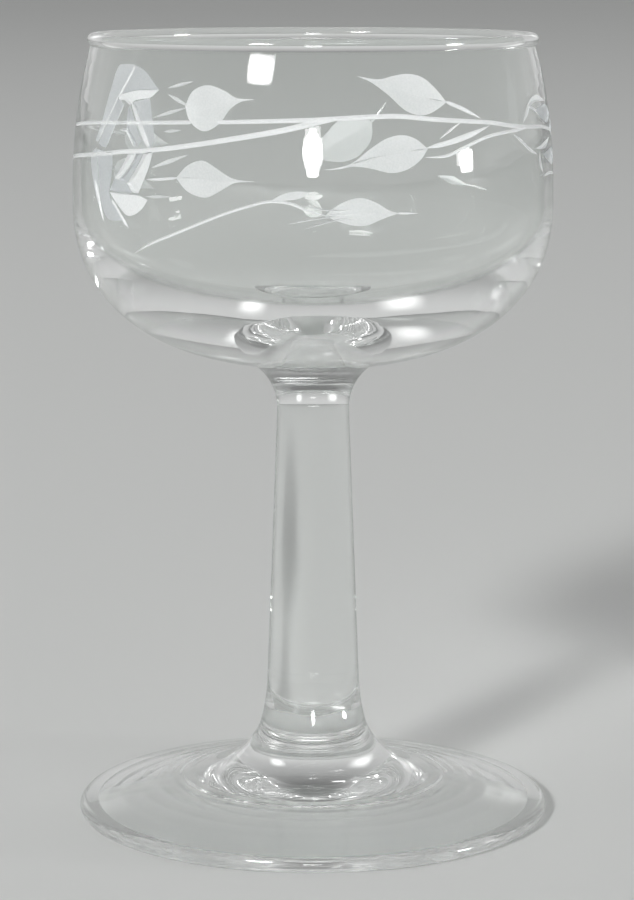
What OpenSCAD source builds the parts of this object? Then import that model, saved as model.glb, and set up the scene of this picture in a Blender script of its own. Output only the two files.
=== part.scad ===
// Cocktail glass: a blown bowl, a drawn solid stem and a pressed foot, welded together in line.
// The axis is Z and the foot's resting ring lies on z = 0. Sizes are in millimetres.

/* [Bowl] */
// Height of the bowl, from its weld on the stem to the top of the rim bead
bowl_h = 49.8; // [40:0.2:64]
// Outside diameter of the bowl at its widest level
bowl_d = 72.6; // [69:0.2:86]
// Height of that widest level above the weld
belly_h = 24.2; // [18:0.2:32]
// Outside diameter over the rim bead
rim_d = 67.7; // [58:0.1:72]
// Wall thickness at the widest level
wall_t = 1.3; // [1:0.1:2.2]
// Wall thickness just under the rim bead
lip_t = 1.1; // [0.8:0.1:1.8]
// Glass left under the drink at the middle of the bowl
base_t = 5.4; // [3:0.2:9]
// How far the rim bead stands out past the wall
bead_out = 0.8; // [0.4:0.1:1.2]
// How far the rim bead stands in past the wall
bead_in = 0.1; // [0.1:0.1:0.6]
// Fullness of the lower curve at the side, where 2 is an ellipse
side_full = 2.5; // [2:0.05:3]
// Fullness of the lower curve at the base, where 2 is an ellipse
base_full = 2.2; // [2:0.05:3]
// How late the upper wall turns in towards the rim
lip_turn = 2.4; // [1.6:0.1:3.5]

/* [Stem] */
// Length of the stem between its two welds
stem_l = 56.7; // [30:0.1:120]
// Diameter at the narrowest point, under the bowl
neck_d = 11; // [8:0.1:14]
// Diameter of the weld under the bowl
seat_d = 19.4; // [16:0.1:24]
// Height of the flare that carries the bowl
seat_flare_h = 7.4; // [5:0.1:12]
// Diameter at the lower end of the straight taper
shank_d = 14.2; // [11.2:0.1:16]
// Height of the flare above the foot
shank_flare_h = 7.3; // [4:0.1:12]
// Diameter of the weld on the foot
weld_d = 16.6; // [16:0.1:20]

/* [Foot] */
// Diameter of the foot
foot_d = 72.5; // [62:0.5:84]
// Height of the foot's middle, where the stem is welded on
foot_h = 13.5; // [11:0.1:18]
// Thickness of the rounded edge
edge_t = 2.6; // [1.8:0.1:4]
// Diameter at which the boss under the stem runs out into the disc
boss_d = 35.4; // [30:0.2:44]
// Height of the disc's upper side at that diameter
boss_h = 6.1; // [5.4:0.1:7.5]
// Width of the flat ring that rests on the table
land_w = 2; // [1:0.1:4]
// Height of the hollow under the middle of the foot
kick_h = 4.4; // [2:0.1:5]

/* [Hidden] */
$fn = 144;
// Clear glass with a faint green-grey cast
glass = [0.84, 0.92, 0.89, 0.5];
// Steps along each curve of the bowl, round the bead and along each flare
bowl_steps = 24;
bead_steps = 24;
arc_steps = 12;

bowl_r = bowl_d / 2;
seat_r = seat_d / 2;
weld_r = weld_d / 2;
bead_d = lip_t + bead_out + bead_in;
lip_r = rim_d / 2 - bead_out;
lip_z = bowl_h - bead_d / 2;
bead_r = bead_d / 2;
bead = [rim_d / 2 - bead_r, lip_z];
bowl_z = foot_h + stem_l;
// The lower curve is drawn so deep that it passes through the edge of the weld
seat_turn = acos(pow(seat_r / bowl_r, side_full / 2));
bowl_drop = belly_h / pow(sin(seat_turn), 2 / base_full);
edge_r = edge_t / 2;

// Points of an arc that leaves p at the heading a, in degrees, and ends at q
function arc_to(p, a, q, n = arc_steps) =
    let (chord = q - p)
    let (turn = atan2(chord[1], chord[0]) - a)
    abs(sin(turn)) < 0.0001
        ? [p, q]
        : let (r = norm(chord) / (2 * sin(turn)))
          [for (k = [0 : n])
              let (b = a + 2 * turn * k / n)
              p + r * [sin(b) - sin(a), cos(a) - cos(b)]];

// Wall of the bowl from the lip down: a curve that falls away from the widest radius r to the lip
// radius, then a rounded lower curve of the given drop that stops at the turn last, in degrees
function bowl_curve(r, lip, drop, last) = concat(
    [for (k = [bowl_steps : -1 : 1])
        let (u = k / bowl_steps)
        [r - (r - lip) * pow(u, lip_turn), belly_h + (lip_z - belly_h) * u]],
    [for (k = [0 : bowl_steps])
        let (t = last * k / bowl_steps)
        [r * pow(cos(t), 2 / side_full), belly_h - drop * pow(sin(t), 2 / base_full)]]);

function reversed(list) = [for (k = [len(list) - 1 : -1 : 0]) list[k]];

// The points of a wall that lie below the rim bead
function clear_of_bead(wall) = [for (p = wall) if (norm(p - bead) > 1.02 * bead_r) p];

// Heading, seen from the middle of the bead, at which a wall that starts inside the bead leaves it
function bead_exit(wall) =
    let (step = clear_of_bead(wall)[0] - wall[0])
    let (start = wall[0] - bead)
    let (half = start * step)
    let (inset = start * start - bead_r * bead_r)
    let (far = (sqrt(half * half - inset * (step * step)) - half) / (step * step))
    let (leaves = start + far * step)
    atan2(leaves[1], leaves[0]);

// Round of the bead over the lip, from the inner wall to the outer one
function bead_arc(inside, outside) =
    let (first = (bead_exit(inside) + 360) % 360)
    let (last = bead_exit(outside))
    [for (k = [0 : bead_steps])
        let (a = first + (last - first) * k / bead_steps)
        bead + bead_r * [cos(a), sin(a)]];

// Blown bowl: thin at the lip, heavy at the base, with a fire-polished bead round the rim
module bowl() {
    outside = bowl_curve(bowl_r, lip_r, bowl_drop, seat_turn);
    inside = bowl_curve(bowl_r - wall_t, lip_r - lip_t, belly_h - base_t, 90);
    color(glass)
    translate([0, 0, bowl_z])
    rotate_extrude()
    polygon(concat(
        bead_arc(inside, outside),
        clear_of_bead(outside),
        [[0, 0]],
        reversed(clear_of_bead(inside))));
}

// Drawn stem: a straight taper that flares up into the bowl and down into the foot
module stem() {
    neck = [neck_d / 2, bowl_z - seat_flare_h];
    shank = [shank_d / 2, foot_h + shank_flare_h];
    taper = atan2(shank[1] - neck[1], shank[0] - neck[0]);
    color(glass)
    rotate_extrude()
    polygon(concat(
        [[0, bowl_z]],
        reversed(arc_to(neck, taper + 180, [seat_r, bowl_z])),
        arc_to(shank, taper, [weld_r, foot_h]),
        [[0, foot_h]]));
}

// Pressed foot: a boss that runs out into a sloping disc with a rounded edge, hollowed underneath
module foot() {
    edge = [foot_d / 2 - edge_r, edge_r];
    boss = [boss_d / 2, boss_h];
    land = [edge[0] - land_w, 0];
    // Slope of the disc, which lies on the rounded edge as a tangent
    slope = atan2(edge[1] - boss[1], edge[0] - boss[0]) + asin(edge_r / norm(edge - boss));
    color(glass)
    rotate_extrude()
    polygon(concat(
        [[0, foot_h]],
        reversed(arc_to(boss, slope + 180, [weld_r, foot_h])),
        [for (k = [0 : arc_steps])
            let (a = slope + 90 - (slope + 180) * k / arc_steps)
            edge + edge_r * [cos(a), sin(a)]],
        reversed(arc_to([0, kick_h], 0, land))));
}

bowl();
stem();
foot();
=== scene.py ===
import math

import bpy
import numpy as np
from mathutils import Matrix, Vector
from mathutils.geometry import delaunay_2d_cdt


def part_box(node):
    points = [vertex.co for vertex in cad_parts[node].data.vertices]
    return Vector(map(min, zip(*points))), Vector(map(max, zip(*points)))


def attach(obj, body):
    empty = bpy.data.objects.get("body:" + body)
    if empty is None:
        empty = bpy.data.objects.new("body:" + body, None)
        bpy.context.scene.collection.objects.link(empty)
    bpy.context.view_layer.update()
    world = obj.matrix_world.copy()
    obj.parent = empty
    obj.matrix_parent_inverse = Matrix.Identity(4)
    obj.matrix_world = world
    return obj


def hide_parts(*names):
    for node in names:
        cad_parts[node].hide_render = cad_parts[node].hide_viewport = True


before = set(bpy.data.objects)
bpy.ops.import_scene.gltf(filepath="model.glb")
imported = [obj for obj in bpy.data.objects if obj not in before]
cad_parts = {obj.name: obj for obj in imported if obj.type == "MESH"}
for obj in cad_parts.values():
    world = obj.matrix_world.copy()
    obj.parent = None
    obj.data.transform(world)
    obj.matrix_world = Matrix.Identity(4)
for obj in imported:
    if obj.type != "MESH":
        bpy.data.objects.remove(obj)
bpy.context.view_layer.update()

# Cocktail glass: a blown bowl with a wheel-cut band of a rose, a bud and leaves, a drawn stem and
# a pressed foot. Shapes are worked out in millimetres and become metres when a piece is made.
MM = 0.001
# Steps round each turned piece, and its seam in degrees from the front, where no cut crosses it
COLUMNS, SEAM = 240, -150.0
# Steps along the runs of the profiles, from the bowl down to the foot
HOLLOW_STEPS, BEAD_STEPS, LIP_STEPS, BAND_STEPS, BASE_STEPS = 96, 24, 2, 32, 64
WELD_STEPS, STEM_STEPS, FOOT_STEPS, LAND_STEPS, KICK_STEPS = 4, 120, 240, 3, 48
# Points on the stem's taper and on the disc of the foot, before the runs are parted into those steps
TAPER_POINTS, DISC_POINTS = 60, 200
# Finishes by their places in a piece's list
CLEAR, LEAF, PETAL, FACET, LINE, WELD = range(6)
# Those of the cuts. Where cuts overlap, the one that comes first here shows
CUT_FINISHES = (LINE, FACET, PETAL, LEAF)


def reach(node):
    """Outside radius, lowest level and highest level of a node of the frame, in millimetres."""
    low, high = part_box(node)
    return min(high.x, high.y) / MM, low.z / MM, high.z / MM


# Bowl: radii, levels and thicknesses, how full its curves are, and the bead round its lip
BOWL_R, BOWL_Z, RIM_Z = reach("bowl")
BELLY_Z, LIP_Z = BOWL_Z + 24.2, RIM_Z - 1.0
LIP_R, SEAT_R = 33.05, 9.7
WALL_T, LIP_T, BASE_T = 1.3, 1.1, 5.4
SIDE_FULL, BASE_FULL, LIP_TURN = 2.5, 2.2, 2.4
BEAD_R, BEAD_AT = 0.997, np.array([32.85, LIP_Z])
# Foot: its weld, its rounded edge, where the boss ends, the ring it rests on and the hollow
FOOT_R, TABLE_Z, FOOT_Z = reach("foot")
WELD_R, EDGE_R = 8.3, 1.3
EDGE = np.array([FOOT_R - EDGE_R, TABLE_Z + EDGE_R])
BOSS, LAND_R, KICK_H = np.array([17.7, 6.1]), EDGE[0] - 2.0, 4.4
# Rings that the turning tool left on the foot: radius, half width and depth
FOOT_RINGS = ((18.4, 0.5, 0.020), (20.3, 0.4, 0.050), (21.8, 0.5, 0.024), (24.2, 0.6, 0.026),
              (27.0, 0.7, 0.022), (30.0, 0.8, 0.014))
# Stem: the two ends of its straight taper
NECK, SHANK = np.array([5.5, BOWL_Z - 7.4]), np.array([7.1, FOOT_Z + 7.3])
# Band of the outer wall that carries the cuts, and the radius it is unrolled at
BAND_TOP, BAND_FOOT = 117.6, 86.4
BAND_R = BOWL_R


# Profiles

def heading(step):
    """Direction of a step, in radians."""
    return math.atan2(step[1], step[0])


def run_along(line):
    """Distance along a line to each of its points."""
    return np.concatenate([[0], np.cumsum(np.hypot(*np.diff(line, axis=0).T))])


def left_of(ways):
    """Unit normals on the left hand of directions."""
    return np.stack([-ways[:, 1], ways[:, 0]], axis=1) / np.hypot(*ways.T)[:, None]


def rounding(middle, radius, first, last, count=60):
    """Points of an arc about a middle, from one angle to another."""
    turn = np.linspace(first, last, count)
    return middle + radius * np.stack([np.cos(turn), np.sin(turn)], axis=1)


def arc_to(start, angle, end, steps=80):
    """Arc that leaves start at a heading and ends at end."""
    chord = np.subtract(end, start)
    turn = heading(chord) - angle
    turn = math.atan2(math.sin(turn), math.cos(turn))
    radius = np.hypot(*chord) / (2 * math.sin(turn))
    turns = angle + 2 * turn * np.linspace(0, 1, steps)
    return np.stack([start[0] + radius * (np.sin(turns) - math.sin(angle)),
                     start[1] + radius * (math.cos(angle) - np.cos(turns))], axis=1)


def bowl_wall(radius, lip, drop, last, steps=700):
    """Wall of the bowl from the lip down to the turn last."""
    u = np.linspace(1, 0, steps, endpoint=False)
    t = np.linspace(0, last, steps)
    upper = np.stack([radius - (radius - lip) * u ** LIP_TURN,
                      BELLY_Z + (LIP_Z - BELLY_Z) * u], axis=1)
    lower = np.stack([radius * np.maximum(np.cos(t), 0) ** (2 / SIDE_FULL),
                      BELLY_Z - drop * np.sin(t) ** (2 / BASE_FULL)], axis=1)
    return np.concatenate([upper, lower])


SEAT_TURN = math.acos((SEAT_R / BOWL_R) ** (SIDE_FULL / 2))
BOWL_DROP = (BELLY_Z - BOWL_Z) / math.sin(SEAT_TURN) ** (2 / BASE_FULL)


def wall_radius(z):
    """Outside radius of the bowl at a height."""
    if z >= BELLY_Z:
        return BOWL_R - (BOWL_R - LIP_R) * ((z - BELLY_Z) / (LIP_Z - BELLY_Z)) ** LIP_TURN
    sine = ((BELLY_Z - z) / BOWL_DROP) ** (BASE_FULL / 2)
    return BOWL_R * (1 - sine * sine) ** (1 / SIDE_FULL)


def wall_normal(z, step=0.01):
    """Outward normal of the bowl's outside, as radius and height."""
    slope = (wall_radius(z + step) - wall_radius(z - step)) / (2 * step)
    size = math.hypot(1, slope)
    return 1 / size, -slope / size


def even_steps(curve, count):
    """The same curve in even steps, with the normal on its left hand at each point."""
    legs = np.hypot(*np.diff(curve, axis=0).T)
    curve = curve[np.concatenate([[True], legs > 1e-9])]
    run = run_along(curve)
    stops = np.linspace(0, run[-1], count + 1)
    points = between(stops, run, curve)
    points[0], points[-1] = curve[0], curve[-1]
    return points, left_of(between(stops, run, np.gradient(curve, run, axis=0)))


def between(stops, run, pairs):
    """Pairs of values at some stops along a run."""
    return np.stack([np.interp(stops, run, pairs[:, k]) for k in (0, 1)], axis=1)


# Glass shells

class GlassShell:
    """A closed glass piece, gathered face by face."""

    def __init__(self):
        self.corners, self.known = [], {}
        self.faces, self.finish, self.normals = [], [], []

    def corner(self, spot):
        """Number of the corner at a spot. Faces that meet there share it."""
        key = tuple(round(float(c), 4) + 0.0 for c in spot)
        if key not in self.known:
            self.known[key] = len(self.corners)
            self.corners.append([float(c) * MM for c in spot])
        return self.known[key]

    def face(self, spots, normals, finish):
        """Adds a face, less the corners that fall together."""
        ids = [self.corner(s) for s in spots]
        kept = [k for k in range(len(ids)) if ids[k] != ids[k - 1]]
        if len(kept) < 3:
            return
        self.faces.append([ids[k] for k in kept])
        self.normals.extend(normals[k] for k in kept)
        self.finish.append(finish)

    def turn(self, points, normals, finish):
        """Turns a run of the profile about the axis."""
        angles = np.radians(SEAM + 360.0 / COLUMNS * np.arange(COLUMNS))
        for low in range(len(points) - 1):
            for a, b in zip(angles, np.roll(angles, -1)):
                spots, ways = [], []
                for row, angle in ((low, a), (low + 1, a), (low + 1, b), (low, b)):
                    spots.append(round_axis(points[row][0], angle, points[row][1]))
                    ways.append(round_axis(normals[row][0], angle, normals[row][1]))
                self.face(spots, ways, finish)

    def piece(self, name, finishes):
        """The finished piece, in the scene."""
        mesh = bpy.data.meshes.new(name)
        mesh.from_pydata(self.corners, [], self.faces)
        for finish in finishes:
            mesh.materials.append(finish)
        mesh.polygons.foreach_set("material_index", self.finish)
        mesh.polygons.foreach_set("use_smooth", [True] * len(self.faces))
        mesh.update()
        self.mark_cut_edges(mesh)
        mesh.normals_split_custom_set(self.normals)
        return put(name, mesh)

    def mark_cut_edges(self, mesh, crisp=math.radians(16)):
        """Keeps the border of each cut and the ridges inside it crisp."""
        sides = {}
        for polygon in mesh.polygons:
            for key in polygon.edge_keys:
                sides.setdefault(key, []).append(polygon)
        for edge in mesh.edges:
            pair = sides[tuple(sorted(edge.vertices))]
            if len(pair) != 2:
                continue
            cut = [p.material_index in CUT_FINISHES for p in pair]
            bend = pair[0].normal.angle(pair[1].normal, 0.0)
            if cut[0] != cut[1] or (cut[0] and bend > crisp):
                edge.use_edge_sharp = True


def put(name, data):
    """Puts a mesh, lamp or lens into the scene."""
    made = bpy.data.objects.new(name, data)
    bpy.context.scene.collection.objects.link(made)
    return made


def round_axis(radius, angle, height):
    """Point at an angle from the front, in radians, positive to the right."""
    return np.array([radius * math.sin(angle), -radius * math.cos(angle), height])


# Cut ornament

# Spacing of the spots inside a cut, the share of it between their rows, and how far they stay from
# the cut's outline and from its ridge
SPACING, ROW_STEP, OUTLINE_GAP, RIDGE_GAP = 0.42, 0.866, 0.24, 0.2
# How far the spots of the plain wall stay from a cut, and how near its outline a spot has no depth
CUT_GAP, ON_OUTLINE = 0.3, 0.02
# Distance between the shallow and the deep edge at which a cut reaches its whole depth
LEAF_FULL, PETAL_FULL = 2.2, 0.9
# How a line's width grows from its point
POINT_POWER = 0.7
# Share of a steep wall's width that its toe keeps from every stretch of the wall
TOE_GAP = 0.8
# Kind of net that keeps every triangle, and how near two of its points count as one
EVERY_TRIANGLE, SAME_POINT = 0, 1e-5
# Stands for a corner's normal where the face's own shape gives it
BY_SHAPE = (0.0, 0.0, 0.0)


def at(degrees, height):
    """Place on the unrolled band, in millimetres along it and up."""
    return np.array([math.radians(degrees) * BAND_R, height])


def on_band(*pairs):
    """Places on the unrolled band, each given in degrees from the front and a height."""
    return np.array([at(d, z) for d, z in pairs])


def closed(ring):
    """An outline that ends where it starts."""
    return np.concatenate([ring, ring[:1]])


def flowing(points, step=0.45, finer=24):
    """A smooth line through the points, in short steps. A point given twice is a corner."""
    points = np.asarray(points, float)
    corners = np.nonzero((points[1:] == points[:-1]).all(axis=1))[0]
    if len(corners):
        first, rest = np.split(points, [corners[0] + 1])
        return np.concatenate([flowing(first, step), flowing(rest, step)[1:]])
    if len(points) > 2:
        ends = np.concatenate([[2 * points[0] - points[1]], points, [2 * points[-1] - points[-2]]])
        t = np.linspace(0, 1, finer, endpoint=False)[:, None]
        runs = []
        for p0, p1, p2, p3 in zip(ends[:-3], ends[1:-2], ends[2:-1], ends[3:]):
            runs.append(0.5 * (2 * p1 + (p2 - p0) * t + (2 * p0 - 5 * p1 + 4 * p2 - p3) * t ** 2
                               + (3 * p1 - p0 - 3 * p2 + p3) * t ** 3))
        points = np.concatenate(runs + [points[-1:]])
    run = run_along(points)
    return between(np.linspace(0, run[-1], max(2, int(round(run[-1] / step))) + 1), run, points)


def distance(spots, line):
    """Distance of each spot from a line of short steps."""
    a, b = line[:-1], line[1:]
    leg = b - a
    size = np.maximum((leg ** 2).sum(axis=1), 1e-12)
    gap = spots[:, None, :] - a[None]
    t = np.clip((gap * leg[None]).sum(axis=2) / size, 0, 1)
    off = gap - t[..., None] * leg[None]
    return np.sqrt((off ** 2).sum(axis=2)).min(axis=1)


def inside(spots, ring):
    """Which spots lie inside a closed outline."""
    hit = np.zeros(len(spots), bool)
    for a, b in zip(ring, np.roll(ring, -1, axis=0)):
        crosses = (a[1] > spots[:, 1]) != (b[1] > spots[:, 1])
        if crosses.any():
            x = a[0] + (spots[:, 1] - a[1]) / (b[1] - a[1]) * (b[0] - a[0])
            hit ^= crosses & (spots[:, 0] < x)
    return hit


class Cut:
    """One wheel cut: its outline, its shallow and its deepest line, its depth and the ridge to keep."""

    def __init__(self, finish, shallow, deep, ring, depth, full, ridge):
        # The outline is kept anticlockwise
        x, y = ring.T
        if (x * np.roll(y, -1) - y * np.roll(x, -1)).sum() < 0:
            ring = ring[::-1]
        self.finish, self.ring, self.ridge = finish, ring, ridge
        self.shallow, self.deep = shallow, deep
        self.depth, self.full = depth, full
        self.low, self.high = ring.min(axis=0), ring.max(axis=0)

    def depths(self, spots):
        """Depth of the cut at each spot, none outside it."""
        near = ((spots >= self.low) & (spots <= self.high)).all(axis=1)
        out = np.zeros(len(spots))
        ids = np.nonzero(near)[0]
        ids = ids[inside(spots[ids], self.ring)]
        if len(ids):
            edge = distance(spots[ids], closed(self.ring))
            rise = distance(spots[ids], self.shallow)
            fall = distance(spots[ids], self.deep)
            deep = self.depth * rise / np.maximum(self.full, rise + fall)
            out[ids] = np.where(edge < ON_OUTLINE, 0, deep)
        return out

    def spots_inside(self):
        """Spots inside the cut that carry its hollow."""
        cols = np.arange(self.low[0], self.high[0], SPACING)
        rows = np.arange(self.low[1], self.high[1], SPACING * ROW_STEP)
        spots = np.array([(x + (k % 2) * SPACING / 2, y) for k, y in enumerate(rows) for x in cols])
        spots = spots[inside(spots, self.ring)]
        for line, gap in ((closed(self.ring), OUTLINE_GAP), (self.ridge, RIDGE_GAP)):
            if len(spots):
                spots = spots[distance(spots, line) > gap]
        return spots


def leaf_cut(base, tip, upper, lower, rib=(), depth=0.44, finish=LEAF):
    """A leaf of two hollows that meet along its rib."""
    top = flowing([base, *upper, tip])
    bottom = flowing([base, *lower, tip])
    ring = np.concatenate([top, bottom[-2:0:-1]])
    line = flowing([base, *rib, tip])
    return Cut(finish, closed(ring), line, ring, depth, LEAF_FULL, line[1:-1])


def line_cut(points, width=0.6, depth=0.24, taper=(4.0, 4.0), finish=LINE):
    """A mitred line that runs out to a point at each end. Its width may change from end to end."""
    line = flowing(points, step=0.5)
    run = run_along(line)
    half = np.interp(run, np.linspace(0, run[-1], np.size(width)), np.atleast_1d(width)) / 2
    for length, off in zip(taper, (run, run[-1] - run)):
        if length:
            half = half * np.minimum(1, (off / length) ** POINT_POWER)
    side = left_of(np.gradient(line, axis=0)) * half[:, None]
    top, bottom = line + side, line - side
    ring = np.concatenate([line[:1], top[1:-1], line[-1:], bottom[-2:0:-1]])
    return Cut(finish, closed(ring), line, ring, depth, np.max(width) / 2, line[1:-1])


def blade_cut(start, end, width=0.6, depth=0.2, finish=LEAF):
    """A short stroke of the wheel, pointed at both ends."""
    length = np.hypot(*(end - start))
    return line_cut([start, end], width, depth, (length / 2, length / 2), finish)


def petal_cut(shallow, deep, depth=0.36, finish=PETAL, wall=0.2):
    """A facet that deepens from one edge to the other, where a steep wall ends it."""
    rise, fall = flowing(shallow), flowing(deep)
    ring = np.concatenate([rise, fall[-2:0:-1]])
    side = left_of(np.gradient(fall, axis=0)) * wall
    if inside((fall + side)[1:-1], ring).mean() <= 0.5:
        side = -side
    toe = (fall + side)[1:-1]
    toe = toe[inside(toe, ring)]
    toe = toe[distance(toe, rise) > wall]
    toe = toe[distance(toe, fall) > TOE_GAP * wall]
    return Cut(finish, rise, fall, ring, depth, PETAL_FULL, toe)


# Middle of the rose, in degrees from the front and in height
ROSE_AT = (-50.0, 105.0)


def in_rose(*pairs):
    """Places in the rose, in millimetres right of and above its middle."""
    return at(*ROSE_AT) + np.array(pairs, float)


def rose():
    """The rose: a cap petal over folded side petals, with bands and a base petal below."""
    crown, tip, fold = (0.9, 10.95), (7.05, 7.6), (-2.0, 6.6)
    left_end, left_foot = (-7.4, -0.2), (-6.5, -0.25)
    return [
        # Cap petal, and the bright facet along its lower edge
        petal_cut(in_rose(crown, (2.4, 10.6), (3.9, 10.0), (5.4, 8.9), tip),
                  in_rose(crown, fold, fold, (0.0, 7.0), (2.4, 7.4), (4.9, 7.5), tip), 0.3),
        petal_cut(in_rose(fold, (0.0, 7.0), (2.4, 7.4), (4.9, 7.5), tip),
                  in_rose(fold, (-1.5, 5.9), (-0.2, 5.9), (1.3, 5.3), (2.0, 5.9), (3.6, 6.2), (5.4, 6.45),
                          tip), 0.45, FACET),
        # Side petals at the left, on both sides of the long mitre
        petal_cut(in_rose(crown, (-0.1, 11.05), (-2.6, 10.95), (-3.6, 10.4), (-4.6, 7.0), (-5.7, 3.2),
                          left_end),
                  in_rose(crown, left_foot, left_foot, left_end), 0.3),
        line_cut(in_rose((0.95, 11.1), (-6.8, -0.5)), 0.62, 0.36, (1.0, 1.4)),
        petal_cut(in_rose((-1.1, 5.9), (-1.95, 6.1), (-1.95, 6.1), (-6.3, -0.5), (-6.3, -0.5),
                          (-5.2, -0.9)),
                  in_rose((-1.1, 5.9), (-0.4, 5.5), (-0.4, 5.5), (-4.1, -0.95), (-4.1, -0.95),
                          (-5.2, -0.9)), 0.26),
        line_cut(in_rose((-0.2, 5.55), (-4.2, -1.1)), 0.48, 0.32, (0.8, 1.0)),
        # Side petal at the right, and the one folded inside it
        petal_cut(in_rose((1.9, 5.75), (5.45, 6.4), (5.45, 6.4), (5.95, 4.75), (6.65, 2.25), (7.05, 0.4),
                          (6.5, -0.4)),
                  in_rose((1.9, 5.75), (5.75, -0.35), (5.75, -0.35), (6.5, -0.4)), 0.4),
        line_cut(in_rose((1.55, 5.8), (5.95, -0.7)), 0.5, 0.36, (0.7, 0.8)),
        petal_cut(in_rose((1.3, 5.3), (4.45, 0.35), (4.45, 0.35), (3.6, -0.6)),
                  in_rose((1.3, 5.3), (0.85, 4.6), (0.95, 2.0), (0.95, 2.0), (3.6, -0.6)), 0.32),
        line_cut(in_rose((-0.7, 1.75), (1.0, 1.8), (1.0, 1.8), (3.0, -0.6)), 0.36, 0.3, (0.6, 0.8)),
        # Bands that sweep down to the left
        petal_cut(in_rose((3.4, -1.45), (2.9, -2.6), (0.9, -4.5), (-0.35, -5.25), (-1.35, -5.25)),
                  in_rose((3.4, -1.45), (1.8, -1.6), (1.8, -1.6), (0.2, -3.7), (-1.35, -5.25)),
                  0.45, FACET),
        petal_cut(in_rose((4.9, -1.35), (4.4, -2.3), (3.2, -4.0), (1.6, -5.75)),
                  in_rose((4.9, -1.35), (3.5, -1.45), (3.5, -1.45), (3.0, -2.65), (1.0, -4.6),
                          (-0.25, -5.35), (-0.25, -5.35), (1.6, -5.75)), 0.3),
        petal_cut(in_rose((6.9, -1.0), (6.6, -2.0), (6.1, -3.5), (5.3, -5.1), (4.2, -7.1)),
                  in_rose((6.9, -1.0), (5.0, -1.4), (5.0, -1.4), (4.5, -2.35), (3.3, -4.05), (1.75, -5.8),
                          (1.75, -5.8), (2.9, -7.0), (4.2, -7.1)), 0.5, FACET),
        petal_cut(in_rose((-1.35, -5.35), (-0.3, -5.4), (1.6, -5.85), (2.8, -7.1)),
                  in_rose((-1.35, -5.35), (-2.6, -7.15), (-2.6, -7.15), (0.0, -7.2), (2.8, -7.1)), 0.25),
        # Base petal, and the mitre beside it
        petal_cut(in_rose((6.05, -7.95), (4.9, -9.3), (3.2, -10.25), (1.6, -10.4), (-0.1, -9.3),
                          (-2.6, -7.3)),
                  in_rose((6.05, -7.95), (4.2, -7.35), (2.0, -7.25), (0.0, -7.3), (-2.6, -7.3)),
                  0.45, FACET),
        line_cut(in_rose((-2.1, -8.3), (2.0, -12.2)), 0.55, 0.3, (0.8, 1.0)),
        # Broad petals at the lower left
        petal_cut(in_rose((-6.7, -1.3), (-5.9, -4.75), (-5.2, -8.3), (-4.1, -10.4), (-2.3, -11.4),
                          (0.6, -11.2)),
                  in_rose((-6.7, -1.3), (-2.1, -1.7), (-2.1, -1.7), (-2.0, -4.0), (-2.7, -7.3),
                          (-2.7, -7.3), (-2.2, -8.5), (-2.2, -8.5), (0.6, -11.2)), 0.28),
        line_cut(in_rose((-7.3, -5.7), (-4.2, -11.7)), 0.55, 0.32, (1.0, 1.2)),
        petal_cut(in_rose((-6.9, -1.1), (-8.3, -1.9), (-8.6, -3.6), (-7.8, -5.6), (-6.2, -8.8),
                          (-4.5, -10.6)),
                  in_rose((-6.9, -1.1), (-6.05, -4.8), (-5.4, -8.2), (-4.5, -10.6)), 0.3),
    ]


def bud():
    """The half-open bud: slender outer petals round a folded heart."""
    return [
        # Upper outer petal, and the mitre under it
        petal_cut(on_band((58.8, 107.4), (60.6, 108.9), (62.6, 110.1), (65.8, 111.0), (70.5, 111.2),
                          (77.0, 110.2)),
                  on_band((58.8, 107.4), (61.6, 108.5), (64.0, 109.75), (68.5, 110.3), (77.0, 110.2)),
                  0.4, FACET),
        line_cut(on_band((62.6, 109.75), (66.4, 109.2), (71.4, 107.8)), 0.5, 0.26, (1, 2)),
        # Heart
        petal_cut(on_band((66.8, 109.1), (71.0, 109.5), (77.0, 109.7), (83.0, 108.2)),
                  on_band((66.8, 109.1), (71.6, 107.6), (77.0, 107.0), (83.0, 108.2)), 0.3),
        petal_cut(on_band((79.0, 106.4), (83.0, 107.3), (87.0, 106.2)),
                  on_band((79.0, 106.4), (81.6, 104.9), (87.0, 106.2)), 0.3),
        # Stalk below the lines, and the lower outer petals
        line_cut(on_band((54.0, 106.0), (57.6, 104.8), (61.0, 103.6), (65.6, 102.7)), 0.5, 0.22, (2, 2)),
        petal_cut(on_band((64.4, 103.6), (68.4, 103.95), (72.6, 104.5), (77.0, 104.9)),
                  on_band((64.4, 103.6), (68.4, 103.35), (73.0, 103.6), (77.0, 104.9)), 0.34, FACET),
        petal_cut(on_band((67.3, 103.1), (66.7, 101.7), (67.4, 100.6), (69.6, 99.8)),
                  on_band((67.3, 103.1), (67.9, 101.8), (68.6, 100.8), (69.6, 99.8)), 0.36, FACET),
        petal_cut(on_band((70.0, 102.6), (75.0, 101.3), (80.0, 100.7), (85.0, 101.6)),
                  on_band((70.0, 102.6), (76.0, 103.1), (81.0, 103.2), (85.0, 101.6)), 0.3),
        line_cut(on_band((69.0, 99.4), (76.0, 99.6), (82.6, 99.2)), 0.45, 0.22, (2, 2)),
    ]


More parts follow.
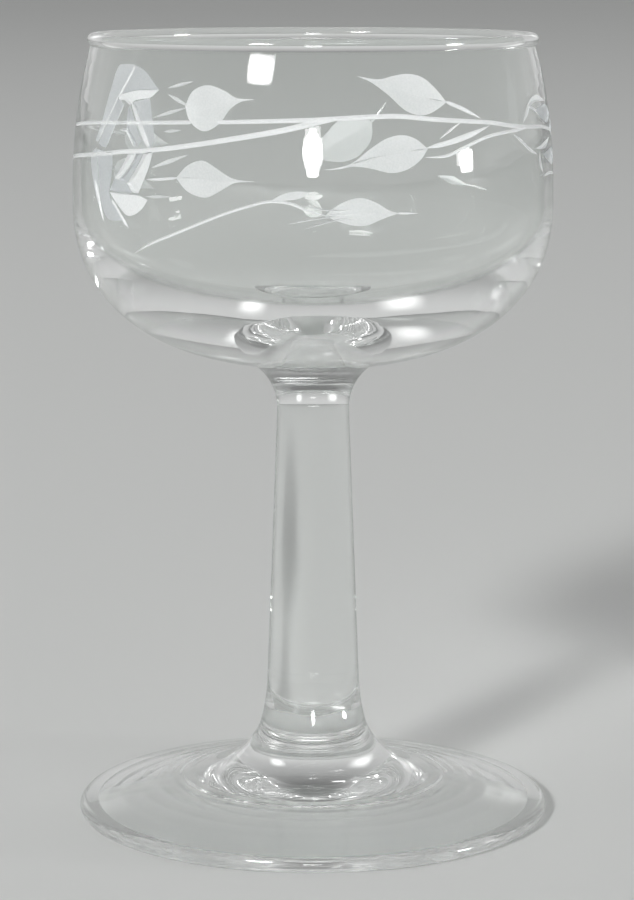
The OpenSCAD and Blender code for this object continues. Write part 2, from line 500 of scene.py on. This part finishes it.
def flower_leaves():
    """Two leaves and six blades that trail to the right of the rose."""
    return [
        leaf_cut(at(-30.8, 110.5), at(-13.4, 111.6),
                 on_band((-29.4, 112.4), (-26.9, 113.3), (-24.2, 113.4), (-20.8, 112.7), (-17.8, 111.75)),
                 on_band((-29.6, 108.7), (-27.2, 107.4), (-24.7, 107.1), (-21.6, 108.2), (-19.2, 110.2),
                         (-16.8, 111.2)),
                 on_band((-25.0, 110.2), (-19.5, 111.2))),
        leaf_cut(at(-32.3, 100.4), at(-12.8, 100.2),
                 on_band((-29.6, 102.1), (-26.6, 102.9), (-24.4, 102.8), (-20.6, 101.4), (-17.6, 100.5)),
                 on_band((-29.6, 98.7), (-26.4, 97.9), (-23.8, 97.9), (-20.4, 99.0), (-17.4, 100.0)),
                 on_band((-25.0, 100.4), (-19.0, 100.25))),
        line_cut(on_band((-31.6, 100.4), (-25.0, 100.4), (-19.0, 100.25)), 0.2, 0.4, (1, 4), LEAF),
        line_cut(on_band((-41.0, 99.95), (-36.5, 100.1), (-32.0, 100.4)), 0.4, 0.16, (2, 0)),
        blade_cut(at(-36.4, 112.9), at(-29.2, 113.95), 0.55),
        blade_cut(at(-36.2, 112.1), at(-29.6, 110.4), 0.6),
        blade_cut(at(-39.8, 108.7), at(-30.2, 110.3), 0.55),
        blade_cut(at(-36.4, 106.8), at(-31.4, 107.1), 0.45),
        blade_cut(at(-39.6, 101.6), at(-29.2, 103.7), 0.65),
        blade_cut(at(-41.2, 97.5), at(-33.6, 97.7), 0.45),
    ]


def low_spray():
    """The low stalk under the front leaves, with its leaf, a small side leaf and fine rays."""
    rays = [((-5.6, 94.3), (-1.0, 94.9), (4.6, 95.4), (8.6, 95.75)),
            ((-2.4, 97.0), (1.6, 96.4), (6.6, 96.2), (12.4, 96.35)),
            ((-2.0, 93.6), (2.0, 94.4), (6.4, 95.0), (11.6, 95.1)),
            ((1.0, 95.5), (6.0, 95.6), (14.4, 95.75))]
    return [
        leaf_cut(at(2.6, 95.5), at(19.3, 95.7),
                 on_band((5.4, 96.9), (8.6, 97.8), (11.4, 97.9), (14.4, 97.2), (17.0, 96.2)),
                 on_band((5.6, 94.7), (9.0, 94.1), (12.2, 94.1), (15.4, 94.9)),
                 on_band((8.0, 95.8), (14.0, 95.8))),
        line_cut(on_band((19.0, 95.7), (24.2, 95.6)), 0.3, 0.12, (0.6, 2)),
        line_cut(on_band((-45.6, 89.2), (-40.0, 90.8), (-32.6, 92.5), (-20.0, 95.6), (-14.0, 96.8),
                         (-9.6, 97.45), (-5.0, 97.2), (-1.0, 96.2), (3.2, 95.5)), 0.42, 0.2),
        leaf_cut(at(-9.4, 97.5), at(-0.6, 98.7),
                 on_band((-7.4, 98.3), (-5.0, 98.8), (-2.6, 98.9)),
                 on_band((-6.4, 97.6), (-3.6, 97.8), (-1.8, 98.2)), depth=0.16),
    ] + [line_cut(on_band(*ray), 0.24, 0.36, (2, 3)) for ray in rays]


def leading_spray():
    """Two leaves and their stalks that lead in to the bud from its left."""
    return [
        leaf_cut(at(32.6, 111.0), at(10.2, 114.85),
                 on_band((30.0, 112.9), (26.8, 114.5), (23.0, 115.05), (19.2, 114.8), (15.4, 114.35)),
                 on_band((30.4, 110.2), (27.4, 109.4), (24.4, 109.35), (21.4, 110.1), (17.8, 112.1),
                         (13.8, 113.9)),
                 on_band((24.6, 112.1), (18.0, 113.4))),
        line_cut(on_band((32.2, 111.1), (24.6, 112.1), (19.0, 113.2)), 0.2, 0.4, (1, 4), LEAF),
        line_cut(on_band((32.2, 111.1), (37.0, 110.0), (42.6, 108.5)), 0.58, 0.22, (0.8, 3)),
        leaf_cut(at(26.8, 104.6), at(2.2, 101.9),
                 on_band((23.8, 106.05), (20.3, 106.6), (16.6, 106.1), (12.8, 104.7), (9.0, 102.9),
                         (5.6, 102.2)),
                 on_band((24.8, 103.0), (21.4, 101.75), (17.6, 101.35), (13.2, 102.0), (9.0, 102.35),
                         (5.6, 101.95)),
                 on_band((20.0, 104.1), (13.0, 103.4), (8.0, 102.55))),
        line_cut(on_band((26.4, 104.6), (20.0, 104.1), (13.0, 103.4), (8.0, 102.55)),
                 0.24, 0.42, (1, 2), LEAF),
        line_cut(on_band((26.4, 104.7), (32.0, 105.3), (38.0, 106.2), (45.4, 107.5)),
                 (0.6, 0.85, 0.6), 0.24, (2, 4)),
        line_cut(on_band((30.0, 105.9), (33.4, 107.2), (36.4, 108.2)), 0.35, 0.16, (2, 2)),
        line_cut(on_band((26.0, 103.4), (31.6, 103.5), (36.8, 104.6), (45.0, 106.0), (56.5, 106.6),
                         (62.0, 106.7)), 0.5, 0.22),
    ]


def back_leaf():
    """One broad leaf at the back, on a short stalk, and a slender blade beside it."""
    return [
        leaf_cut(at(164.2, 104.4), at(182.0, 98.6),
                 on_band((168.0, 105.4), (172.6, 104.8), (176.6, 102.6), (179.4, 100.2)),
                 on_band((164.6, 101.6), (167.6, 99.2), (172.0, 98.0), (177.0, 98.2)),
                 on_band((172.0, 101.6)), 0.3),
        line_cut(on_band((160.2, 107.5), (162.2, 105.9), (164.6, 104.3)), 0.4, 0.16, (1.4, 0.5)),
        blade_cut(at(145.5, 96.3), at(136.0, 95.2), 1.3, 0.26),
        line_cut(on_band((137.0, 95.3), (132.0, 94.9), (128.0, 94.6)), 0.3, 0.14, (0.5, 1.5)),
    ]


def plain_leaf(base, tip, half):
    """A plain leaf that is fullest near its base."""
    along = tip - base
    side = np.array([-along[1], along[0]]) / np.hypot(*along) * half
    # Share of the length, and the share of the half width there
    swell = ((0.08, 0.5), (0.22, 0.9), (0.36, 1.0), (0.56, 0.72), (0.78, 0.26))
    return leaf_cut(base, tip, [base + along * t + side * w for t, w in swell],
                    [base + along * t - side * w for t, w in swell])


def stalks():
    """The two long stalks. Each starts at a leaf. The upper one passes a leaf and ends in the bud."""
    upper_left = on_band((-123, 103.5), (-108, 104.8), (-92, 105.9), (-78, 106.7), (-60, 107.5),
                         (-40, 108.0), (-28.4, 108.25))
    upper_right = on_band((-22.6, 108.35), (-10, 108.6), (0, 108.8), (12, 109.15), (20, 109.2), (30, 108.6),
                          (45, 107.9), (53, 107.25), (60, 106.9), (70, 106.6), (80, 105.9), (88, 105.5))
    lower = on_band((-118, 98.3), (-104, 99.9), (-92, 101.0), (-78, 102.0), (-61, 102.9), (-50, 103.6),
                    (-40, 104.1), (-30, 104.9), (-20, 105.9), (-8, 107.2), (0, 108.3), (7, 109.0))
    return [line_cut(upper_left, (0.5, 0.5, 0.56), 0.24, (1, 0.6)),
            line_cut(upper_right, (0.58, 0.68, 0.6, 0.5), 0.24, (0.6, 4)),
            line_cut(lower, (0.5, 0.6, 0.85), 0.24, (1, 5)),
            plain_leaf(at(-121, 103.7), at(-139, 101.4), 2.7),
            plain_leaf(at(-116.4, 98.5), at(-134, 94.6), 2.6)]


def all_cuts():
    """Every cut of the band, all the way round."""
    sprays = flower_leaves() + leading_spray() + low_spray()
    return stalks() + rose() + bud() + sprays + back_leaf()


class CutNet:
    """The unrolled band as one net of triangles, which keeps the outline and ridge of every cut."""

    def __init__(self, cuts):
        self.cuts = cuts
        self.spots, self.edges, self.rings = [], [], []
        columns = np.linspace(at(SEAM, 0)[0], at(SEAM + 360, 0)[0], COLUMNS + 1)
        rows = np.linspace(BAND_FOOT, BAND_TOP, BAND_STEPS + 1)
        self.lay_wall(columns, rows)
        for cut in cuts:
            self.rings.append(self.lay(cut.ring))
            if len(cut.ridge) > 1:
                ids = self.lay(cut.ridge)
                self.edges += zip(ids[:-1], ids[1:])
            self.lay(cut.spots_inside())

    def lay(self, points):
        """Adds points to the net and gives their numbers."""
        first = len(self.spots)
        self.spots.extend((float(x), float(y)) for x, y in points)
        return list(range(first, len(self.spots)))

    def lay_wall(self, columns, rows):
        """The border of the band, and a grid inside it that stays clear of every cut."""
        border = ([(x, rows[0]) for x in columns] + [(columns[-1], y) for y in rows[1:]]
                  + [(x, rows[-1]) for x in columns[-2::-1]] + [(columns[0], y) for y in rows[-2:0:-1]])
        ids = self.lay(border)
        self.edges += zip(ids, ids[1:] + ids[:1])
        grid = np.array([(x, y) for x in columns[1:-1] for y in rows[1:-1]])
        free = np.ones(len(grid), bool)
        for cut in self.cuts:
            close = (grid > cut.low - CUT_GAP) & (grid < cut.high + CUT_GAP)
            near = np.nonzero(close.all(axis=1))[0]
            if len(near):
                taken = inside(grid[near], cut.ring) | (distance(grid[near], closed(cut.ring)) < CUT_GAP)
                free[near[taken]] = False
        self.lay(grid[free])

    def triangles(self):
        """Places of the net's points, its triangles, and the cuts that each triangle lies in."""
        net = delaunay_2d_cdt([Vector(p) for p in self.spots], self.edges, self.rings,
                              EVERY_TRIANGLE, SAME_POINT)
        points, _, faces, from_points, _, from_rings = net
        exact = [self.spots[o[0]] if o else tuple(p) for p, o in zip(points, from_points)]
        return np.array(exact), faces, [[self.cuts[o] for o in owners] for owners in from_rings]


def cut_band(shell):
    """The band of the bowl's outside that carries the cuts."""
    cuts = all_cuts()
    spots, faces, owners = CutNet(cuts).triangles()
    depth = np.max([cut.depths(spots) for cut in cuts], axis=0)
    corners, ways = [], []
    for (x, z), deep in zip(spots, depth):
        out, up = wall_normal(z)
        corners.append(round_axis(wall_radius(z) - out * deep, x / BAND_R, z - up * deep))
        ways.append(round_axis(out, x / BAND_R, up))
    for face, within in zip(faces, owners):
        finish = min((cut.finish for cut in within), key=CUT_FINISHES.index, default=CLEAR)
        # A clockwise face is turned over, to look outwards
        (ax, ay), (bx, by), (cx, cy) = spots[face]
        if (bx - ax) * (cy - ay) - (by - ay) * (cx - ax) < 0:
            face = face[::-1]
        normals = [ways[k] if finish == CLEAR else BY_SHAPE for k in face]
        shell.face([corners[k] for k in face], normals, finish)


# Pieces

def weld_face(shell, first, last, level):
    """A flat face inside a weld, from one radius to another."""
    shell.turn(*even_steps(np.array([(first, level), (last, level)]), WELD_STEPS), WELD)


def shape_bowl():
    """The bowl: its hollow, the bead round the lip, the outer wall with the cuts, and the weld."""
    shell = GlassShell()
    outside = bowl_wall(BOWL_R, LIP_R, BOWL_DROP, SEAT_TURN)
    hollow = bowl_wall(BOWL_R - WALL_T, LIP_R - LIP_T, BELLY_Z - BOWL_Z - BASE_T, math.pi / 2)
    hollow[-1][0] = 0.0
    clear = [np.hypot(*(wall - BEAD_AT).T) > BEAD_R for wall in (outside, hollow)]
    outside, hollow = outside[clear[0]], hollow[clear[1]]
    first = heading(hollow[0] - BEAD_AT) % (2 * math.pi)
    last = heading(outside[0] - BEAD_AT)
    bead = rounding(BEAD_AT, BEAD_R, first, last, BEAD_STEPS + 1)
    bead[0], bead[-1] = hollow[0], outside[0]
    shell.turn(*even_steps(hollow[::-1], HOLLOW_STEPS), CLEAR)
    shell.turn(bead, (bead - BEAD_AT) / BEAD_R, CLEAR)
    top = np.array([wall_radius(BAND_TOP), BAND_TOP])
    foot = np.array([wall_radius(BAND_FOOT), BAND_FOOT])
    above = np.concatenate([outside[outside[:, 1] > BAND_TOP], [top]])
    below = np.concatenate([[foot], outside[outside[:, 1] < BAND_FOOT]])
    below[-1] = (SEAT_R, BOWL_Z)
    shell.turn(*even_steps(above, LIP_STEPS), CLEAR)
    cut_band(shell)
    shell.turn(*even_steps(below, BASE_STEPS), CLEAR)
    weld_face(shell, SEAT_R, 0.0, BOWL_Z)
    return shell


def shape_stem():
    """The stem: a straight taper between the flare under the bowl and the root on the foot."""
    shell = GlassShell()
    taper = heading(SHANK - NECK)
    flare = arc_to(NECK, taper + math.pi, (SEAT_R, BOWL_Z))[::-1]
    root = arc_to(SHANK, taper, (WELD_R, FOOT_Z))
    weld_face(shell, 0.0, SEAT_R, BOWL_Z)
    side = np.concatenate([flare, np.linspace(NECK, SHANK, TAPER_POINTS)[1:-1], root])
    shell.turn(*even_steps(side, STEM_STEPS), CLEAR)
    weld_face(shell, WELD_R, 0.0, FOOT_Z)
    return shell


def shape_foot():
    """The foot: boss, sloping disc with its rings, rounded edge, resting ring and hollow."""
    shell = GlassShell()
    gap = EDGE - BOSS
    slope = heading(gap) + math.asin(EDGE_R / np.hypot(*gap))
    boss = arc_to(BOSS, slope + math.pi, (WELD_R, FOOT_Z))[::-1]
    edge = rounding(EDGE, EDGE_R, slope + math.pi / 2, -math.pi / 2)
    disc = np.linspace(boss[-1], edge[0], DISC_POINTS)[1:-1]
    top = np.concatenate([boss, disc])
    for ring, width, depth in FOOT_RINGS:
        top[:, 1] -= depth * np.exp(-((top[:, 0] - ring) / width) ** 2)
    weld_face(shell, 0.0, WELD_R, FOOT_Z)
    shell.turn(*even_steps(np.concatenate([top, edge]), FOOT_STEPS), CLEAR)
    land = np.array([(EDGE[0], TABLE_Z), (LAND_R, TABLE_Z)])
    kick = arc_to((0.0, TABLE_Z + KICK_H), 0.0, (LAND_R, TABLE_Z))[::-1]
    kick[-1][0] = 0.0
    shell.turn(*even_steps(land, LAND_STEPS), CLEAR)
    shell.turn(*even_steps(kick, KICK_STEPS), CLEAR)
    return shell


# Finishes

GLASS_IOR = 1.52
# Tints of clear glass seen straight on and edge on. The edge one is partly the green of thick glass and
# partly painted shade, which darkens the glass where it slants away
CLEAR_TINT, EDGE_GREEN_AND_SHADE = (0.975, 0.99, 0.98), (0.08, 0.13, 0.10)
# How much of the lamps' light passes at a slant, and the slants between which it falls to that
SLANT_SHADE, SLANT_FROM, SLANT_TO = (0.10, 0.11, 0.105), 0.45, 0.95
# Smears to the metre, and the roughness they add
SMEARS, DULLING = 60.0, 0.025
# Grains of a cut to the metre, their height in millimetres, the part of the noise they use, and how
# much duller the dullest are
GRAINS, TOOTH = 3500.0, 0.006
GRAIN_RANGE = {"From_Min": 0.3, "From_Max": 0.7}
DULL_SPREAD = 0.15


def join(tree, value, socket):
    """Sets a socket to a value, or to another node's output."""
    if isinstance(value, bpy.types.NodeSocket):
        tree.links.new(value, socket)
    else:
        socket.default_value = value


def fill(tree, made, inputs):
    """Sets the inputs of a node by their names, and gives its outputs."""
    for name, value in inputs.items():
        join(tree, value, made.inputs[name.replace("_", " ")])
    return made.outputs


def place(tree, kind, **inputs):
    """A new node of a kind."""
    return fill(tree, tree.nodes.new(kind), inputs)


def use(tree, group, **inputs):
    """A shared effect, placed in a finish."""
    made = tree.nodes.new("ShaderNodeGroup")
    made.node_tree = group
    return fill(tree, made, inputs)


def ramp(tree, value, first, last):
    """A colour that changes with a value. Each of the two stops is a value and its colour."""
    made = tree.nodes.new("ShaderNodeValToRGB")
    for stop, (position, colour) in zip(made.color_ramp.elements, (first, last)):
        stop.position = position
        stop.color = (*colour, 1)
    return fill(tree, made, {"Fac": value})["Color"]


def new_group(name, inputs, outputs):
    """Starts a shared effect: its tree, the sockets that come in and those that go out."""
    tree = bpy.data.node_groups.new(name, "ShaderNodeTree")
    for way, sockets in (("INPUT", inputs), ("OUTPUT", outputs)):
        for socket, kind in sockets.items():
            tree.interface.new_socket(socket, in_out=way, socket_type="NodeSocket" + kind)
    return tree, tree.nodes.new("NodeGroupInput").outputs, tree.nodes.new("NodeGroupOutput").inputs


def glass_waves():
    """Slight waves of glass that was worked hot, drawn out by its own amount along each axis."""
    tree, given, out = new_group("glass_waves", {"Draw": "Vector", "Waves": "Float"}, {"Height": "Float"})
    spot = place(tree, "ShaderNodeTexCoord")["Object"]
    drawn = place(tree, "ShaderNodeMapping", Vector=spot, Scale=given["Draw"])["Vector"]
    waves = place(tree, "ShaderNodeTexNoise", Vector=drawn, Scale=given["Waves"],
                  Detail=2.0, Roughness=0.45)
    tree.links.new(waves["Fac"], out["Height"])
    return tree


def handling_marks():
    """Faint smears from wiping and handling, which dull the polish a little."""
    tree, given, out = new_group("handling_marks", {"Smears": "Float", "Dulling": "Float"},
                                 {"Roughness": "Float"})
    spot = place(tree, "ShaderNodeTexCoord")["Object"]
    smears = place(tree, "ShaderNodeTexNoise", Vector=spot, Scale=given["Smears"],
                   Detail=4.0, Distortion=0.6)
    dull = place(tree, "ShaderNodeMapRange", Value=smears["Fac"], From_Min=0.5, From_Max=0.75,
                 To_Min=0.0, To_Max=given["Dulling"])
    tree.links.new(dull["Result"], out["Roughness"])
    return tree


def ground_grain():
    """Grain that the wheel leaves in a cut: a speckled colour, an uneven dullness and a fine height."""
    tree, given, out = new_group("ground_grain",
                                 {"Grains": "Float", "Dim": "Color", "Bright": "Color",
                                  "Dull": "Float", "Dullest": "Float"},
                                 {"Colour": "Color", "Roughness": "Float", "Height": "Float"})
    spot = place(tree, "ShaderNodeTexCoord")["Object"]
    grains = place(tree, "ShaderNodeTexNoise", Vector=spot, Scale=given["Grains"],
                   Detail=3.0, Roughness=0.6)["Fac"]
    spread = place(tree, "ShaderNodeMapRange", Value=grains, **GRAIN_RANGE)["Result"]
    dull = place(tree, "ShaderNodeMapRange", Value=grains, **GRAIN_RANGE,
                 To_Min=given["Dull"], To_Max=given["Dullest"])
    tree.links.new(mix_colours(tree, spread, given["Dim"], given["Bright"]), out["Colour"])
    tree.links.new(dull["Result"], out["Roughness"])
    tree.links.new(grains, out["Height"])
    return tree


def mix_colours(tree, share, first, second):
    """A share of the second colour in the first."""
    made = tree.nodes.new("ShaderNodeMix")
    made.data_type = "RGBA"
    ends = {socket.identifier: socket for socket in (*made.inputs, *made.outputs)}
    for name, value in (("Factor_Float", share), ("A_Color", first), ("B_Color", second)):
        tree.links.new(value, ends[name])
    return ends["Result_Color"]


def new_finish(name):
    """Starts a finish: the finish, its tree and its shader."""
    finish = bpy.data.materials.new(name)
    finish.use_nodes = True
    return finish, finish.node_tree, finish.node_tree.nodes["Principled BSDF"]


def clear_glass(name, draw, waves, swell, rim, share):
    """Polished clear glass, slightly waved. Where it slants away past rim it turns greener, as thick glass
    does, and darker, which is painted shade along its edges.
    """
    finish, tree, shader = new_finish(name)
    facing = place(tree, "ShaderNodeLayerWeight", Blend=0.5)["Facing"]
    # Base colour with painted shade: the glass darkens towards its edges as it slants away, besides turning
    # the green of thick glass
    tint_and_edge_shade = ramp(tree, facing, (rim, CLEAR_TINT), (1.0, EDGE_GREEN_AND_SHADE))
    marks = use(tree, MARKS, Smears=SMEARS, Dulling=DULLING)
    height = use(tree, WAVES, Draw=draw, Waves=waves)["Height"]
    bump = place(tree, "ShaderNodeBump", Distance=swell * MM, Height=height)
    fill(tree, shader, {"Base Color": tint_and_edge_shade, "Roughness": marks["Roughness"], "Normal": bump["Normal"],
                        "IOR": GLASS_IOR, "Transmission Weight": 1.0})
    let_light_through(tree, shader, facing, share)
    return finish


def let_light_through(tree, shader, facing, share):
    """Lets a share of the lamps' light through to what lies behind the glass, and less at a slant."""
    shade = ramp(tree, facing, (SLANT_FROM, (share, share, share)), (SLANT_TO, SLANT_SHADE))
    passed = place(tree, "ShaderNodeBsdfTransparent", Color=shade)
    either = tree.nodes.new("ShaderNodeMixShader")
    tree.links.new(place(tree, "ShaderNodeLightPath")["Is Shadow Ray"], either.inputs["Fac"])
    tree.links.new(shader.outputs["BSDF"], either.inputs[1])
    tree.links.new(passed["BSDF"], either.inputs[2])
    tree.links.new(either.outputs["Shader"], tree.nodes["Material Output"].inputs["Surface"])


def ground_glass(name, dim, bright, transmission, dull):
    """Glass left matt by the wheel, with grains between a dim and a bright colour."""
    finish, tree, shader = new_finish(name)
    grain = use(tree, GRAIN, Grains=GRAINS, Dim=(*dim, 1), Bright=(*bright, 1),
                Dull=dull, Dullest=dull + DULL_SPREAD)
    bump = place(tree, "ShaderNodeBump", Distance=TOOTH * MM, Height=grain["Height"])
    fill(tree, shader, {"Base Color": grain["Colour"], "Roughness": grain["Roughness"],
                        "Normal": bump["Normal"], "IOR": GLASS_IOR, "Transmission Weight": transmission})
    return finish


def fused_weld():
    """The inside of a weld, where glass runs on into glass and nothing shows."""
    finish, tree, shader = new_finish("fused_weld")
    fill(tree, shader, {"Alpha": 0.0})
    return finish


WAVES, MARKS, GRAIN = glass_waves(), handling_marks(), ground_grain()
ground = [
    ground_glass("leaf_ground", (0.77, 0.80, 0.80), (0.88, 0.90, 0.90), transmission=0.64, dull=0.42),
    # Petal and facet grains are a greyer and a paler copy of one ground glass: partly a different grind,
    # and partly painted light for the brighter look of facets that face the light
    ground_glass("petal_ground", (0.70, 0.74, 0.76), (0.81, 0.84, 0.86), transmission=0.77, dull=0.38),
    ground_glass("facet_ground", (0.79, 0.81, 0.81), (0.90, 0.92, 0.92), transmission=0.45, dull=0.42),
    ground_glass("line_ground", (0.79, 0.81, 0.81), (0.89, 0.91, 0.91), transmission=0.47, dull=0.4),
]
weld = fused_weld()
blown = clear_glass("blown_glass", draw=(0.2, 0.2, 1.0), waves=220.0, swell=0.04, rim=0.76, share=0.74)
drawn = clear_glass("drawn_glass", draw=(1.0, 1.0, 0.06), waves=330.0, swell=0.03, rim=0.55, share=0.60)
pressed = clear_glass("pressed_glass", draw=(1.0, 1.0, 1.0), waves=90.0, swell=0.05, rim=0.82, share=0.55)

pieces = {
    "bowl": shape_bowl().piece("bowl_blown", [blown, *ground, weld]),
    "stem": shape_stem().piece("stem_drawn", [drawn, *ground, weld]),
    "foot": shape_foot().piece("foot_pressed", [pressed, *ground, weld]),
}
for node, piece in pieces.items():
    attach(piece, "root")
    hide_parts(node)


# Studio

# Floor: its radius in metres, its sides and its colour
FLOOR_R, FLOOR_SIDES, FLOOR_COLOUR = 60.0, 64, (0.69, 0.70, 0.69, 1)
# Light of the room near the ground and overhead, each at a height from 0 to 1
LOW_ROOM, HIGH_ROOM = (0.1, (0.62, 0.62, 0.62)), (0.9, (0.18, 0.18, 0.18))
# Camera: where it stands in metres, how far it looks down in degrees, and its focal length in the
# pixels of a picture that is so many pixels high
CAMERA_AT, LOOK_DOWN = (0.0006, -0.470, 0.1323), 9.16
FOCAL_PIXELS, PHOTO_HEIGHT, SENSOR = 3105, 900, 36.0
# Nearest and farthest that it sees, in metres
NEAREST, FARTHEST = 0.01, 200
# What the lamps are aimed at
MIDDLE = (0, 0, 0.08)
# How often light may bounce, enough to find its way out of solid glass
BOUNCES = 128


def studio_floor():
    """A plain pale floor."""
    mesh = bpy.data.meshes.new("studio_floor")
    turn = np.linspace(0, 2 * math.pi, FLOOR_SIDES, endpoint=False)
    corners = [(FLOOR_R * math.cos(a), FLOOR_R * math.sin(a), 0.0) for a in turn]
    mesh.from_pydata(corners, [], [list(range(FLOOR_SIDES))])
    paint, tree, shader = new_finish("floor_paint")
    fill(tree, shader, {"Base Color": FLOOR_COLOUR, "Roughness": 0.9, "Specular IOR Level": 0.1})
    mesh.materials.append(paint)
    floor = put("studio_floor", mesh)


def soft_lamp(name, spot, size, watts, shape="RECTANGLE"):
    """A lamp aimed at the middle of the glass. A panel is brightest in its middle and fades outwards."""
    lamp = bpy.data.lights.new(name, "AREA")
    lamp.shape = shape
    lamp.size, lamp.size_y = size
    lamp.energy = watts
    made = put(name, lamp)
    made.location = spot
    made.rotation_euler = (Vector(MIDDLE) - Vector(spot)).to_track_quat("-Z", "Y").to_euler()
    made.visible_camera = False
    if shape == "RECTANGLE":
        fade_out(lamp)


def fade_out(lamp):
    """Fades a panel to nothing at its edges, by a bow across and a bow up."""
    lamp.use_nodes = True
    tree = lamp.node_tree
    spot = place(tree, "ShaderNodeNewGeometry")["Parametric"]
    across = place(tree, "ShaderNodeSeparateXYZ", Vector=spot)
    bows = []
    for way in ("X", "Y"):
        # A bow is 1 in the middle and 0 at both edges
        off = math_node(tree, "SUBTRACT", across[way], 0.5)
        drop = math_node(tree, "MULTIPLY", math_node(tree, "MULTIPLY", off, off), -4.0)
        bows.append(math_node(tree, "ADD", drop, 1.0))
    fade = math_node(tree, "MULTIPLY", *bows)
    fill(tree, tree.nodes["Emission"], {"Strength": math_node(tree, "MULTIPLY", fade, fade)})


def math_node(tree, operation, first, second):
    """One step of arithmetic on two values."""
    made = tree.nodes.new("ShaderNodeMath")
    made.operation = operation
    join(tree, first, made.inputs[0])
    join(tree, second, made.inputs[1])
    return made.outputs["Value"]


def set_camera():
    """The camera, level from side to side, where the glass is seen as in the photograph."""
    lens = bpy.data.cameras.new("camera")
    lens.sensor_width = SENSOR
    lens.lens = FOCAL_PIXELS / PHOTO_HEIGHT * SENSOR
    lens.clip_start, lens.clip_end = NEAREST, FARTHEST
    camera = put("camera", lens)
    camera.location = CAMERA_AT
    camera.rotation_euler = (math.radians(90 - LOOK_DOWN), 0, 0)
    bpy.context.scene.camera = camera


def set_world():
    """A plain pale room, darker overhead."""
    world = bpy.data.worlds.new("studio")
    bpy.context.scene.world = world
    world.use_nodes = True
    tree = world.node_tree
    way = place(tree, "ShaderNodeTexCoord")["Generated"]
    height = place(tree, "ShaderNodeSeparateXYZ", Vector=way)["Z"]
    colour = ramp(tree, height, LOW_ROOM, HIGH_ROOM)
    fill(tree, tree.nodes["Background"], {"Color": colour, "Strength": 1.0})


def set_view():
    """Plain colours, and light that may bounce often."""
    scene = bpy.context.scene
    scene.view_settings.view_transform = "Standard"
    scene.cycles.max_bounces = BOUNCES
    scene.cycles.transmission_bounces = BOUNCES
    scene.cycles.glossy_bounces = BOUNCES
    scene.cycles.transparent_max_bounces = BOUNCES


studio_floor()
set_camera()
set_world()
set_view()
# Lamps: place and size in metres, and watts
soft_lamp("key_softbox", (-3.3, -6.4, 3.6), (1.9, 1.3), 1900.0)
soft_lamp("fill_softbox", (7.8, -1.8, 0.45), (1.2, 0.5), 1200.0)
soft_lamp("left_strip", (-4.3, 10.0, 2.8), (3.4, 5.0), 45.0)
soft_lamp("right_strip", (2.8, 10.2, 2.3), (1.7, 4.2), 20.0)
soft_lamp("front_lamp", (0.0, -3.0, 0.44), (0.5, 0.5), 10.0, "DISK")
